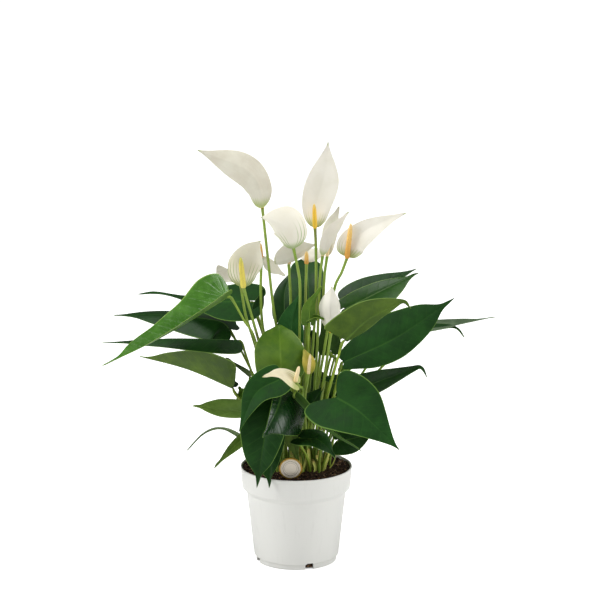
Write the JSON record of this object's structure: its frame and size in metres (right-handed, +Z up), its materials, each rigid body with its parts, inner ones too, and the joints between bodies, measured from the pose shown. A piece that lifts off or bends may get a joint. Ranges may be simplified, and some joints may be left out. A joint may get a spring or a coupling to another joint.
{
  "type": "potted anthurium",
  "caption": "Flowering anthurium with white spathes and heart-shaped leaves, growing in a plain round white nursery pot filled with peat, with a round plant label.",
  "frame": {"origin": "centre of the pot's underside, on the surface that the pot stands on", "axes": "+Z up the pot's axis, -Y towards the plant's front, +X to its right as seen from the front"},
  "size_m": [0.4231, 0.2367, 0.455],
  "materials": {
    "pot": "satin moulded plastic",
    "soil": "coarse moist peat",
    "label": "printed card under clear film, gold rim on a cream face",
    "leaf_bright": "fresh waxy leaf",
    "leaf_olive": "matt leaf underside",
    "leaf_dark": "glossy dark leaf",
    "stalk": "satin green stalk with a yellow spadix",
    "spathe": "satin white spathe"
  },
  "bodies": {
    "root": {"pot": "pot", "soil": "soil", "plant_label": "label", "leaf_bright_left": "leaf_bright", "leaf_light_centre": "leaf_bright", "leaf_light_small": "leaf_bright", "leaf_olive_left": "leaf_olive", "leaf_small_left": "leaf_olive", "leaf_thin_left": "leaf_olive", "leaf_low_left": "leaf_olive", "leaf_right_olive": "leaf_olive", "leaf_dark_left_upper": "leaf_dark", "leaf_dark_left_long": "leaf_dark", "leaf_front_left_upper": "leaf_dark", "leaf_front_left_low": "leaf_dark", "leaf_front_behind": "leaf_dark", "leaf_front_glossy": "leaf_dark", "leaf_front_edge": "leaf_dark", "leaf_front_right": "leaf_dark", "leaf_right_big": "leaf_dark", "leaf_right_upper_front": "leaf_dark", "leaf_right_upper_back": "leaf_dark", "leaf_far_right": "leaf_dark", "leaf_right_middle": "leaf_dark", "leaf_low_front": "leaf_dark", "leaf_low_right": "leaf_dark", "leaf_blue_centre": "leaf_dark", "leaf_back_tall": "leaf_dark", "leaf_back_left_tall": "leaf_dark", "leaf_back_left": "leaf_dark", "leaf_inner_right": "leaf_dark", "leaf_rear": "leaf_dark", "flower_top_left_stalk": "stalk", "flower_top_left_spathe": "spathe", "flower_top_stalk": "stalk", "flower_top_spathe": "spathe", "flower_round_stalk": "stalk", "flower_round_spathe": "spathe", "flower_hooded_stalk": "stalk", "flower_hooded_spathe": "spathe", "flower_behind_left_stalk": "stalk", "flower_behind_left_spathe": "spathe", "flower_far_left_stalk": "stalk", "flower_far_left_spathe": "spathe", "flower_grey_stalk": "stalk", "flower_grey_spathe": "spathe", "flower_small_orange_stalk": "stalk", "flower_small_orange_spathe": "spathe", "flower_narrow_stalk": "stalk", "flower_narrow_spathe": "spathe", "flower_narrow_back_stalk": "stalk", "flower_narrow_back_spathe": "spathe", "flower_right_stalk": "stalk", "flower_right_spathe": "spathe", "flower_furled_stalk": "stalk", "flower_furled_spathe": "spathe", "flower_low_front_stalk": "stalk", "flower_low_front_spathe": "spathe", "flower_bud_stalk": "stalk", "flower_bud_spathe": "spathe"}
  },
  "joints": []
}
